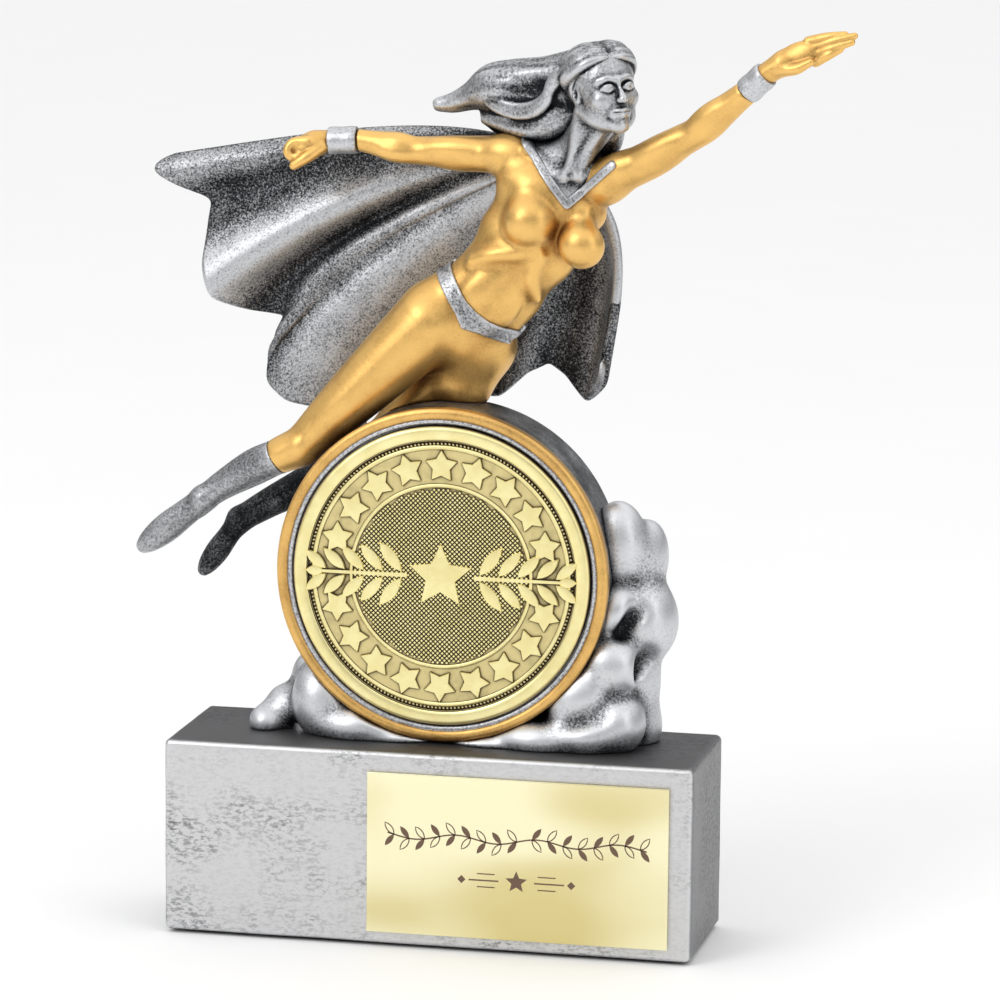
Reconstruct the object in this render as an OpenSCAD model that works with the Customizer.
// Figure trophy: a caped flying figure over a round centre disc, on cloud work and a block base.
// Millimetres, +Z up. The origin is the middle of the underside, and the disc faces -Y.

/* [Base] */
// Width of the base block
base_w = 89; // [84:1:100]
// Depth of the base block, front to back
base_d = 27.5; // [26:0.5:34]
// Height of the base, pad included
base_h = 33; // [30:1:40]
// Radius of the base block's edges
base_edge_r = 1; // [0.6:0.1:2]
// Thickness of the soft pad under the base
pad_t = 0.5; // [0.4:0.1:1.5]

/* [Engraving plate] */
// Width of the engraving plate
plate_w = 50.5; // [40:0.5:60]
// Height of the engraving plate
plate_h = 27; // [20:0.5:27]
// Thickness of the engraving plate
plate_t = 0.5; // [0.4:0.1:0.8]
// Distance from the middle of the base to the middle of the plate
plate_x = 15.5; // [0:0.5:17]

/* [Centre disc] */
// Diameter of the centre disc
disc_d = 50; // [49.5:0.1:50]
// Thickness of the disc without its relief
disc_t = 1.8; // [1.5:0.1:1.8]
// Number of stars around the disc
star_count = 20; // [16:2:20]
// Outer radius of the lip that frames the disc
lip_r = 27.9; // [27.6:0.1:28.2]
// Depth of the holder drum behind the lip
drum_t = 12.5; // [12:0.5:13]

/* [Figure] */
// Diameter of the pins that join the limbs
limb_pin_d = 1.2; // [1:0.1:1.2]
// Diameter of the pins that carry the whole figure
mount_pin_d = 1.6; // [1.4:0.1:1.8]
// Thickness of the cape
cape_t = 1.8; // [1.6:0.1:2]

/* [Hidden] */
$fn = 64;
joint_gap = 0.05;

// Layers of the disc and its holder, from the drum's front face forwards
drum_r = lip_r - 0.4;
drum_front = -4;
adhesive_t = 0.3;
disc_back = drum_front - adhesive_t;
disc_face = disc_back - disc_t;
relief_t = 0.35;
lip_inner_r = disc_d / 2 + 0.4;
lip_t = 2.2;
lip_round = (lip_r - lip_inner_r) / 2;
holder_gap = 0.4;
holder_x = 0.5;
holder_z = base_h + lip_r + holder_gap;

// Fixings
screw_x = [-24, 28];
screw_d = 4;
screw_head_d = 7.6;
screw_head_t = 2.6;
screw_bite = 7;
screw_recess_z = 24;
holder_pin_x = [-7, 7];
holder_pin_len = 9;
holder_pin_y = 1;
wrist_pin_len = 10;
cape_pin_len = 5;

// Plate, its tape, and the relief on the disc
plate_z = pad_t + (base_h - pad_t) / 2 - 0.6;
tape_t = 0.2;
leaf_pairs = 5;
leaf_len = 4.8;
leaf_pitch = 2.9;

// Joints of the figure, measured from the middle of the disc
pelvis = [0.4, 4.5, 40.4];
waist = [6.4, 4, 46];
ribs = [12.6, 3.5, 54.6];
chest = [16, 3, 61.6];
neck_base = [18.6, 3.5, 68.4];
skull = [24.2, 0, 79.8];
chin = [26.4, -3.6, 75];
right_shoulder = [10.2, 5, 68.6];
right_elbow = [-7.7, 6, 68.8];
right_wrist = [-17.6, 6, 70.2];
right_palm = [-22.6, 6, 69.9];
right_knuckles = [-27.6, 5.5, 68.4];
left_shoulder = [26, 2.2, 65.2];
left_elbow = [41.2, -2, 74.1];
left_wrist = [49.8, -5, 81.2];
left_palm = [53.2, -6, 84.4];
left_fingertip = [68, -8, 91];
right_hip = [-3.8, 2.8, 40.6];
right_knee = [-25, 1, 19.4];
right_boot_top = [-29.2, 1.4, 17.4];
right_ankle = [-42.6, 3.6, 9.2];
right_toe = [-53.2, 4.6, 0.6];
left_hip = [4, 7.6, 36.6];
left_knee = [-14, 13, 19.2];
left_boot_top = [-20, 13.2, 15.6];
left_ankle = [-38.8, 13.2, 4.2];
left_toe = [-45.2, 13.4, -4.8];
cape_root = [16, 10.6, 68.6];

// How far along each upper arm its joint lies, from the shoulder
right_arm_inset = 7;
left_arm_inset = 2;

// Belt, cuffs and clouds
belt_h = 2.6;
belt_dip = 3;
cuff_r = 2.1;
cloud_squash = 0.86;

// The cape spreads between two directions, in degrees from +X
cape_from = 183;
cape_to = 285;
cape_steps = 46;
cape_rings = 9;

// Sideways lean of the hips, chest and head, in degrees
hip_lean = 42;
waist_lean = 38;
chest_lean = 24;
neck_lean = 14;
head_lean = -6;

// ---------- helpers ----------

// Turns +Z onto the direction given
module along(dir) {
  rotate([0, acos(dir[2] / norm(dir)), atan2(dir[1], dir[0])]) children();
}

// One ellipsoid: [place, half sizes, lean]
module blob(b, grow = 0) {
  translate(b[0]) rotate([0, b[2], 0]) scale(b[1] + [grow, grow, grow]) sphere(r = 1, $fn = 18);
}

// Blobs joined one to the next
module chain(blobs, grow = 0) {
  for (i = [0 : len(blobs) - 2])
    hull() {
      blob(blobs[i], grow);
      blob(blobs[i + 1], grow);
    }
}

function ball(place, r) = [place, [r, r, r], 0];
function mix(a, b, t) = a + (b - a) * t;

// Everything within 9 mm of a cut, on the far side of the plane through place
module beyond(place, dir) {
  translate(place) along(dir) translate([-9, -9, 0]) cube([18, 18, 18]);
}

// A pin's cylinder, centred on place
module pin(place, dir, d, len) {
  translate(place) along(dir) translate([0, 0, -len / 2]) cylinder(d = d, h = len, $fn = 24);
}

// The figure is measured from the height of the disc's middle
module at_figure() {
  translate([0, 0, holder_z]) children();
}

// Stands a shape drawn in XY upright on the disc's axis, with its base at y, rising towards -Y
module facing_front(y) {
  translate([holder_x, y, holder_z]) rotate([90, 0, 0]) children();
}

module rounded_rect(w, h, r) {
  for (x = [-1, 1])
    for (y = [-1, 1])
      translate([x * (w / 2 - r), y * (h / 2 - r)]) circle(r, $fn = 32);
  square([w - 2 * r, h], center = true);
  square([w, h - 2 * r], center = true);
}

// ---------- base ----------

module base_body() {
  block_h = base_h - pad_t;
  translate([0, 0, pad_t + block_h / 2])
    intersection() {
      linear_extrude(block_h, center = true) rounded_rect(base_w, base_d, base_edge_r);
      rotate([90, 0, 0]) linear_extrude(base_d, center = true)
        rounded_rect(base_w, block_h, base_edge_r);
      rotate([90, 0, 90]) linear_extrude(base_w, center = true)
        rounded_rect(base_d, block_h, base_edge_r);
    }
}

module base_block() {
  color("silver") difference() {
    base_body();
    for (x = screw_x) translate([x, 0, 0]) {
      cylinder(d = screw_d + 0.4, h = base_h + 1);
      cylinder(d = screw_head_d + 1, h = screw_recess_z);
    }
  }
}

module base_pad() {
  color("black") linear_extrude(pad_t) rounded_rect(base_w - 4, base_d - 4, 2);
}

module base_screws() {
  color("gray") for (x = screw_x) translate([x, 0, screw_recess_z - screw_head_t]) {
    cylinder(d = screw_head_d, h = screw_head_t);
    cylinder(d = screw_d, h = screw_head_t + base_h - screw_recess_z + screw_bite);
  }
}

module plate_adhesive() {
  color("white") translate([plate_x, -base_d / 2, plate_z]) rotate([90, 0, 0])
    linear_extrude(tape_t) square([plate_w - 2, plate_h - 2], center = true);
}

module engraving_plate() {
  color("khaki") translate([plate_x, -base_d / 2 - tape_t, plate_z]) rotate([90, 0, 0])
    linear_extrude(plate_t) rounded_rect(plate_w, plate_h, 0.4);
}

// The room that the drum and its lip take out of the pieces around them
module drum_space() {
  facing_front(drum_front + drum_t + joint_gap)
    cylinder(r = drum_r + joint_gap, h = drum_t + 2 * joint_gap, $fn = 72);
  facing_front(drum_front + joint_gap) cylinder(r = lip_r + joint_gap, h = lip_t + 8, $fn = 72);
}

// The pins that stand the drum on the cloud work
module each_holder_pin(d, len) {
  for (x = holder_pin_x)
    pin([x, holder_pin_y, holder_z - drum_r], [0, 0, 1], d, len);
}

// ---------- clouds ----------

// Each billow is [x, y, height above the base, radius]
cloud_billows = [
  [27.6, 4, 36, 4.6], [31, 5, 32.6, 4.2], [27.6, 2, 27.6, 4],
  [29, 1.5, 22, 4.4], [33.4, 4, 20.4, 5], [27, 0.5, 13.6, 5.2],
  [30.6, 3, 10.6, 4.8], [22.6, -1, 6, 5.4], [30, 1, 3.4, 4.6],
  [16, -1.6, 2.4, 4], [33, 5, 3, 3],
  [-19.4, -1, 6.4, 5.6], [-24, 2, 8, 4], [-26, 0, 3, 3.8], [-30, 0, 1.4, 2.6], [-14, -2, 2, 4]
];

module cloud_body() {
  intersection() {
    for (c = cloud_billows) hull() {
      top = [c[0], c[1], base_h + c[2]];
      blob([top, [c[3], c[3], c[3]], 0]);
      blob([[c[0] * 0.96, c[1], base_h + max(c[2] - 7, 0)], [1, 1, 1] * c[3] * cloud_squash, 0]);
    }
    translate([-base_w / 2, -base_d / 2, base_h]) cube([base_w, base_d, 60]);
  }
}

module cloud_mound() {
  color("silver") difference() {
    union() {
      cloud_body();
      translate([0, 1.5, base_h]) linear_extrude(9) rounded_rect(34, 11, 3);
    }
    drum_space();
    for (x = screw_x) translate([x, 0, base_h - 1])
      cylinder(d = screw_d + 0.1, h = screw_bite + 1.1, $fn = 24);
    each_holder_pin(limb_pin_d + 0.1, holder_pin_len + 0.2);
  }
}

// ---------- disc and holder ----------

module disc_holder() {
  back_r = 1;
  color("silver") difference() {
    facing_front(drum_front + drum_t) rotate_extrude($fn = 96) {
      square([drum_r - back_r, drum_t]);
      translate([0, back_r]) square([drum_r, drum_t - back_r]);
      translate([drum_r - back_r, back_r]) circle(back_r);
    }
    each_holder_pin(limb_pin_d, holder_pin_len);
    at_figure() for (m = mount_pins) pin(m[0], m[1], mount_pin_d, m[2]);
  }
}

module holder_rim() {
  color("goldenrod") facing_front(drum_front) rotate_extrude($fn = 96) {
    translate([lip_inner_r, 0]) square([2 * lip_round, lip_t - lip_round]);
    translate([lip_inner_r + lip_round, lip_t - lip_round]) circle(lip_round);
  }
}

module disc_adhesive() {
  color("white") facing_front(drum_front) cylinder(d = disc_d - 6, h = adhesive_t);
}

module star(r) {
  polygon([for (i = [0 : 9]) (i % 2 == 0 ? r : r * 0.45) * [sin(i * 36), cos(i * 36)]]);
}

module ring(r, w) {
  difference() {
    circle(r + w / 2, $fn = 96);
    circle(r - w / 2, $fn = 96);
  }
}

// A pointed laurel leaf lying along +X
module leaf(len) {
  bow_r = len * 0.8;
  lift = sqrt(bow_r * bow_r - len * len / 4);
  translate([len / 2, 0]) intersection() {
    translate([0, -lift]) circle(bow_r);
    translate([0, lift]) circle(bow_r);
  }
}

module laurel_branch() {
  translate([5.2, -0.3]) square([leaf_pairs * leaf_pitch, 0.6]);
  for (i = [0 : leaf_pairs - 1])
    for (side = [-1, 1])
      translate([5.6 + i * leaf_pitch, 0]) rotate(side * 42) leaf(leaf_len);
}

module disc_relief() {
  ring(23.7, 2.6);
  ring(21.2, 0.5);
  ring(14.4, 0.5);
  for (i = [0 : star_count - 1])
    if (i % (star_count / 2) != star_count / 4)
      rotate(i * 360 / star_count) translate([0, 17.7]) star(2.5);
  star(4.6);
  laurel_branch();
  mirror([1, 0]) laurel_branch();
}

module centre_disc() {
  color("palegoldenrod") {
    facing_front(disc_back) cylinder(d = disc_d, h = disc_t);
    facing_front(disc_face) linear_extrude(relief_t) disc_relief();
  }
}

module holder_pins() {
  color("gray") each_holder_pin(limb_pin_d, holder_pin_len);
}

// ---------- figure ----------

torso_blobs = [
  [mix(right_hip, left_hip, 0.5) + [-1, 0, -1.5], [6.4, 4.6, 4.4], hip_lean],
  [pelvis, [9.8, 6, 6], hip_lean],
  [waist, [7.8, 5, 4], waist_lean],
  [ribs, [8.6, 5.6, 5], chest_lean + 8],
  [chest, [10, 6, 6], chest_lean],
  [mix(chest, neck_base, 0.7), [8, 4.4, 3], chest_lean],
  [neck_base, [3.6, 3.6, 2.4], neck_lean]
];
right_leg_blobs = [
  ball(right_hip, 6.2), ball(mix(right_hip, right_knee, 0.45), 5),
  ball(right_knee, 3.5), ball(right_boot_top, 2.8)
];
left_leg_blobs = [
  ball(left_hip, 5.8), ball(mix(left_hip, left_knee, 0.5), 4.8),
  ball(left_knee, 3.4), ball(left_boot_top, 2.8)
];
bust_blobs = [
  [[14, -1.4, 58.6], [4.2, 3.4, 4.2], chest_lean],
  [[21.6, -2, 55.6], [3.9, 3.4, 4], chest_lean]
];

module body_core(grow = 0) {
  chain(torso_blobs, grow);
  for (b = bust_blobs) hull() {
    blob(b, grow);
    blob([mix(b[0], chest + [0, 1, 3], 0.5), [3.4, 3.4, 3.4], chest_lean], grow);
  }
  chain(right_leg_blobs, grow);
  chain(left_leg_blobs, grow);
  hull() {
    blob(ball(right_shoulder, 3.5), grow);
    blob([mix(chest, neck_base, 0.6), [5, 4, 3], chest_lean], grow);
  }
  hull() {
    blob(ball(left_shoulder, 3.3), grow);
    blob([mix(chest, neck_base, 0.6), [5, 4, 3], chest_lean], grow);
  }
}

right_arm_dir = right_elbow - right_shoulder;
left_arm_dir = left_elbow - left_shoulder;
right_hand_dir = right_palm - right_wrist;
left_hand_dir = left_palm - left_wrist;
right_boot_dir = right_ankle - right_boot_top;
left_boot_dir = left_ankle - left_boot_top;
neck_dir = skull - neck_base;
neck_cut = neck_base + [0, 0, 1];
right_arm_cut = right_shoulder + right_arm_dir / norm(right_arm_dir) * right_arm_inset;
left_arm_cut = left_shoulder + left_arm_dir / norm(left_arm_dir) * left_arm_inset;

// Each mounting pin is [middle, direction, length]
mount_pins = [
  [[-14.6, 1.8, 23], [-14.6, 0, 23], 9],
  [[2, 6.6, 27.4], [1, 1, 7], 9]
];
cape_pin_places = [[10.4, 8.6, 62], [20, 8.4, 60]];

module figure_body() {
  hole = limb_pin_d + 0.1;
  color("goldenrod") at_figure() difference() {
    union() {
      body_core();
      chain([right_arm_blobs[0], right_arm_blobs[1]]);
      chain([left_arm_blobs[0], left_arm_blobs[1]]);
    }
    translate([0, 0, -holder_z]) drum_space();
    beyond(right_boot_top, right_boot_dir);
    beyond(left_boot_top, left_boot_dir);
    beyond(right_arm_cut, right_arm_dir);
    beyond(left_arm_cut, left_arm_dir);
    translate([0, 0, 20]) beyond(neck_cut - [0, 0, 20], neck_dir);
    pin(neck_cut, neck_dir, hole, 8.2);
    pin(right_arm_cut, right_arm_dir, hole, 8.2);
    pin(left_arm_cut, left_arm_dir, hole, 8.2);
    pin(right_boot_top, right_boot_dir, hole, 7.2);
    pin(left_boot_top, left_boot_dir, hole, 7.2);
    for (m = mount_pins) pin(m[0], m[1], mount_pin_d + 0.1, m[2] + 0.2);
    for (p = cape_pin_places) pin(p, [0, 1, 0], hole, cape_pin_len + 0.2);
  }
}

module head_core(grow = 0) {
  chain([
    [neck_base, [3.4, 3.4, 2.4], 0],
    [mix(neck_base, skull, 0.45), [3, 3.2, 3], 0],
    [skull + [-0.6, 1.6, -1], [4.6, 5, 5], head_lean]
  ], grow);
  hull() {
    blob([skull + [0, 0.6, 2], [5.4, 6, 6], head_lean], grow);
    blob([chin + [-0.6, 0.6, 0.6], [2.6, 2.4, 2.4], head_lean], grow);
  }
  hull() {
    blob([skull + [0.4, -1.6, -1], [4.4, 4.4, 5], head_lean], grow);
    blob([mix(skull, chin, 0.5), [4, 3.4, 4], head_lean], grow);
  }
}

module head() {
  color("silver") at_figure() difference() {
    head_core();
    body_core(joint_gap);
    pin(neck_cut, neck_dir, limb_pin_d + 0.1, 8.2);
  }
}

hair_blobs = [
  [skull + [-0.8, 2, 3.4], [6.4, 6.6, 6], head_lean],
  [skull + [-8, 4, 1.2], [5.4, 4.6, 4.8], 0],
  [[8.4, 6.4, 79.4], [4.4, 3.6, 3.6], 0],
  [[0.6, 8, 77.6], [2.4, 2, 1.8], 0],
  [[-4.4, 8.6, 76.4], [0.8, 0.8, 0.8], 0]
];
nape_blobs = [
  [skull + [-3, 3.4, 1], [5, 4.6, 5], 0],
  [[15.4, 5.4, 76], [4.4, 3.6, 4], 0],
  [[11.6, 6.4, 73.6], [3.6, 2.4, 2.6], 0],
  [[4.6, 7.4, 73.8], [1.6, 1.4, 1.4], 0]
];

module hair_core(grow = 0) {
  chain(hair_blobs, grow);
  chain(nape_blobs, grow);
}

module hair() {
  color("dimgray") at_figure() difference() {
    hair_core();
    head_core(joint_gap);
    body_core(joint_gap);
    hull() {
      blob([chin + [1.6, -3, 1], [5, 4, 4], 0]);
      blob([skull + [2, -5, 0], [5, 4, 4.4], 0]);
    }
  }
}

// Left top, point of the V, right top and nape of the collar
collar_points = [[12.6, 1.6, 70.4], [20, -3.2, 61.6], [26.4, -0.6, 67.6], [20.4, 6.4, 71.4]];

module collar() {
  color("silver") at_figure() difference() {
    for (i = [0 : 3]) hull() {
      blob(ball(collar_points[i], 0.9));
      blob(ball(collar_points[(i + 1) % 4], 0.9));
    }
    body_core(joint_gap);
    head_core(joint_gap);
    hair_core(joint_gap);
  }
}

module belt() {
  color("silver") at_figure() difference() {
    intersection() {
      body_core(0.7);
      translate(mix(pelvis, waist, 0.8)) rotate([0, hip_lean, 0]) rotate([90, 0, 0])
        linear_extrude(30, center = true)
          polygon([
            [-14, belt_h / 2], [1, belt_h / 2 - belt_dip], [14, belt_h / 2],
            [14, -belt_h / 2], [1, -belt_h / 2 - belt_dip], [-14, -belt_h / 2]
          ]);
    }
    body_core(joint_gap);
  }
}

right_arm_blobs = [
  ball(right_shoulder, 3.5), ball(mix(right_shoulder, right_elbow, 0.5), 2.8),
  ball(right_elbow, 2.4), ball(mix(right_elbow, right_wrist, 0.35), 2.6), ball(right_wrist, 1.9)
];
left_arm_blobs = [
  ball(left_shoulder, 3.3), ball(mix(left_shoulder, left_elbow, 0.5), 2.9),
  ball(left_elbow, 2.7), ball(mix(left_elbow, left_wrist, 0.35), 2.7), ball(left_wrist, 1.9)
];

module arm(blobs, cut, cut_dir, hand_dir) {
  hole = limb_pin_d + 0.1;
  wrist = blobs[len(blobs) - 1][0];
  color("goldenrod") at_figure() difference() {
    chain(blobs);
    beyond(cut, -cut_dir);
    beyond(wrist, hand_dir);
    pin(cut, cut_dir, hole, 8.2);
    pin(wrist + hand_dir / 2, hand_dir, hole, wrist_pin_len + 0.2);
    body_core(joint_gap);
    head_core(joint_gap);
    hair_core(joint_gap);
  }
}

module right_arm() {
  arm(right_arm_blobs, right_arm_cut, right_arm_dir, right_hand_dir);
}

module left_arm() {
  arm(left_arm_blobs, left_arm_cut, left_arm_dir, left_hand_dir);
}

// A plain wristband with a bore for the pin that carries the hand
module cuff(wrist, hand_dir) {
  len = norm(hand_dir) - 2 * joint_gap;
  color("silver") at_figure() translate(wrist) along(hand_dir) translate([0, 0, joint_gap])
    difference() {
      rotate_extrude($fn = 48) {
        square([cuff_r, len]);
        translate([0, 0.4]) square([cuff_r + 0.15, len - 0.8]);
      }
      translate([0, 0, -1]) cylinder(d = limb_pin_d, h = len + 2, $fn = 24);
    }
}

module right_cuff() {
  cuff(right_wrist, right_hand_dir);
}

module left_cuff() {
  cuff(left_wrist, left_hand_dir);
}

module right_hand() {
  knuckle_row = [0, -2.2, 0];
  color("goldenrod") at_figure() difference() {
    union() {
      chain([
        ball(right_palm, 2), ball(mix(right_palm, right_knuckles, 0.5), 2.6),
        ball(right_knuckles, 2.5)
      ]);
      for (i = [0 : 3]) hull() {
        blob(ball(right_knuckles + [0.4, 0, 1.8 - i * 1.3], 1));
        blob(ball(right_knuckles + knuckle_row + [1.6, 0, 1.4 - i * 1.2], 0.9));
      }
      chain([
        ball(mix(right_palm, right_knuckles, 0.4) + [0, -1.6, 1.2], 1),
        ball(right_knuckles + [1.8, -2.8, 1], 0.9),
        ball(right_knuckles + [0.8, -3, -0.6], 0.8)
      ]);
    }
    beyond(right_palm, -right_hand_dir);
    pin(mix(right_wrist, right_palm, 0.5), right_hand_dir, limb_pin_d + 0.1, wrist_pin_len + 0.2);
  }
}

module left_hand() {
  knuckles = mix(left_palm, left_fingertip, 0.46);
  color("goldenrod") at_figure() difference() {
    union() {
      chain([
        ball(left_palm, 1.9),
        [mix(left_palm, left_fingertip, 0.2), [2.4, 3, 1.6], -30],
        [knuckles, [2, 3.4, 1.1], -24]
      ]);
      for (i = [0 : 3]) chain([
        ball(knuckles + [0, -2.4 + 1.6 * i, 0], 1),
        ball(left_fingertip + [-abs(i - 1.5) * 1.2, -1.6 + 1.2 * i, -0.3], 0.65)
      ]);
      chain([
        ball(mix(left_palm, left_fingertip, 0.12) + [0, -2, -0.6], 1),
        ball(mix(left_palm, left_fingertip, 0.42) + [0, -3.4, -1.6], 0.8)
      ]);
    }
    beyond(left_palm, -left_hand_dir);
    pin(mix(left_wrist, left_palm, 0.5), left_hand_dir, limb_pin_d + 0.1, wrist_pin_len + 0.2);
  }
}

module boot(top, ankle, toe, dir) {
  heel = ankle + (ankle - top) / norm(ankle - top) * 1.2 + [0.4, 0, 0.8];
  color("silver") at_figure() difference() {
    union() {
      chain([
        ball(top, 3), ball(mix(top, ankle, 0.35), 3.1), ball(mix(top, ankle, 0.7), 2.5),
        ball(ankle, 2.1), ball(mix(ankle, toe, 0.35), 2.2), ball(mix(ankle, toe, 0.75), 2),
        ball(toe, 1.4)
      ]);
      chain([ball(ankle, 2.1), ball(heel, 1.8), ball(mix(ankle, toe, 0.4), 2)]);
    }
    beyond(top, -dir);
    pin(top, dir, limb_pin_d + 0.1, 7.2);
    translate([0, 0, -holder_z]) drum_space();
  }
}

module right_boot() {
  boot(right_boot_top, right_ankle, right_toe, right_boot_dir);
}

module left_boot() {
  boot(left_boot_top, left_ankle, left_toe, left_boot_dir);
}

// ---------- cape ----------

// Hem distance from the cape's root at each direction, in degrees from +X
cape_hem = [
  [183, 68], [185, 70], [188, 66], [191, 62], [198, 65], [204, 66], [208, 62], [213, 57],
  [217, 63], [222, 64], [230, 58], [240, 50], [250, 44], [256, 43], [261, 38], [266, 36],
  [271, 38], [276, 42], [281, 39], [285, 34]
];
// Each fold is [direction, half width in degrees, depth]; a minus depth comes forwards
cape_folds = [
  [186, 4, 1.8], [197, 6, -3], [207, 3.5, 2.4], [212, 2, -2], [221, 5, -2.4],
  [233, 5, 2], [244, 5, -1.6], [266, 4, 1.6], [280, 5, -4]
];

function bell(x) = exp(-x * x);
function total(list) = list * [for (x = list) 1];
function cape_fold(a) = total([for (f = cape_folds) f[2] * bell((a - f[0]) / f[1])]);
function cape_point(u, s) =
  let (
    a = cape_from + (cape_to - cape_from) * u,
    r = 3 + (lookup(a, cape_hem) - 3) * s,
    bow = sin(180 * pow(s, 0.65)),
    left_edge = bell(u / 0.12) * bow * 5,
    right_edge = bell((1 - u) / 0.2) * bow * 6
  )
  cape_root + [
    cos(a) * r + right_edge,
    cape_fold(a) * pow(s, 0.9) + bow * 2 + s * 3.4,
    sin(a) * r + left_edge
  ];

// Corner points of the front and back sheets, row by row from the root to the hem
function cape_front() = [
  for (j = [0 : cape_rings])
    for (i = [0 : cape_steps])
      cape_point(i / cape_steps, j / cape_rings)
];

function cape_corner(i, j, sheet) =
  (sheet * (cape_rings + 1) + j) * (cape_steps + 1) + i;

// The four corners of one cell on one sheet
function cape_cell(i, j, sheet) = [
  cape_corner(i, j, sheet), cape_corner(i + 1, j, sheet),
  cape_corner(i + 1, j + 1, sheet), cape_corner(i, j + 1, sheet)
];

function reversed(list) = [for (i = [len(list) - 1 : -1 : 0]) list[i]];

// A strip of wall between the sheets, from corner a to corner b
function cape_wall(a, b) = [
  cape_corner(a[0], a[1], 0), cape_corner(b[0], b[1], 0),
  cape_corner(b[0], b[1], 1), cape_corner(a[0], a[1], 1)
];

module cape_sheet() {
  front = cape_front();
  back = [for (p = front) p + [0, cape_t, 0]];
  columns = [0 : cape_steps - 1];
  rows = [0 : cape_rings - 1];
  polyhedron(
    points = concat(front, back),
    faces = concat(
      [for (j = rows) for (i = columns) cape_cell(i, j, 0)],
      [for (j = rows) for (i = columns) reversed(cape_cell(i, j, 1))],
      [for (i = columns) cape_wall([i + 1, 0], [i, 0])],
      [for (i = columns) cape_wall([i, cape_rings], [i + 1, cape_rings])],
      [for (j = rows) cape_wall([0, j], [0, j + 1])],
      [for (j = rows) cape_wall([cape_steps, j + 1], [cape_steps, j])]
    )
  );
}

module cape() {
  color("gray") at_figure() difference() {
    cape_sheet();
    body_core(joint_gap);
    head_core(joint_gap);
    hair_core(joint_gap);
    chain(right_arm_blobs, joint_gap);
    chain(left_arm_blobs, joint_gap);
    translate([0, 0, -holder_z]) drum_space();
    for (p = cape_pin_places) pin(p, [0, 1, 0], limb_pin_d + 0.1, cape_pin_len + 0.2);
  }
}

// ---------- pins ----------

module neck_pin() {
  color("gray") at_figure() pin(neck_cut, neck_dir, limb_pin_d, 8);
}

module shoulder_pins() {
  color("gray") at_figure() {
    pin(right_arm_cut, right_arm_dir, limb_pin_d, 8);
    pin(left_arm_cut, left_arm_dir, limb_pin_d, 8);
  }
}

module wrist_pins() {
  color("gray") at_figure() {
    pin(mix(right_wrist, right_palm, 0.5), right_hand_dir, limb_pin_d, wrist_pin_len);
    pin(mix(left_wrist, left_palm, 0.5), left_hand_dir, limb_pin_d, wrist_pin_len);
  }
}

module boot_pins() {
  color("gray") at_figure() {
    pin(right_boot_top, right_boot_dir, limb_pin_d, 7);
    pin(left_boot_top, left_boot_dir, limb_pin_d, 7);
  }
}

module cape_pins() {
  color("gray") at_figure() for (p = cape_pin_places) pin(p, [0, 1, 0], limb_pin_d, cape_pin_len);
}

module mounting_pins() {
  color("gray") at_figure() for (m = mount_pins) pin(m[0], m[1], mount_pin_d, m[2]);
}

base_block();
base_pad();
base_screws();
engraving_plate();
plate_adhesive();
cloud_mound();
disc_holder();
holder_rim();
centre_disc();
disc_adhesive();
holder_pins();
figure_body();
head();
hair();
collar();
belt();
cape();
right_arm();
left_arm();
right_hand();
left_hand();
right_cuff();
left_cuff();
right_boot();
left_boot();
neck_pin();
shoulder_pins();
wrist_pins();
boot_pins();
cape_pins();
mounting_pins();
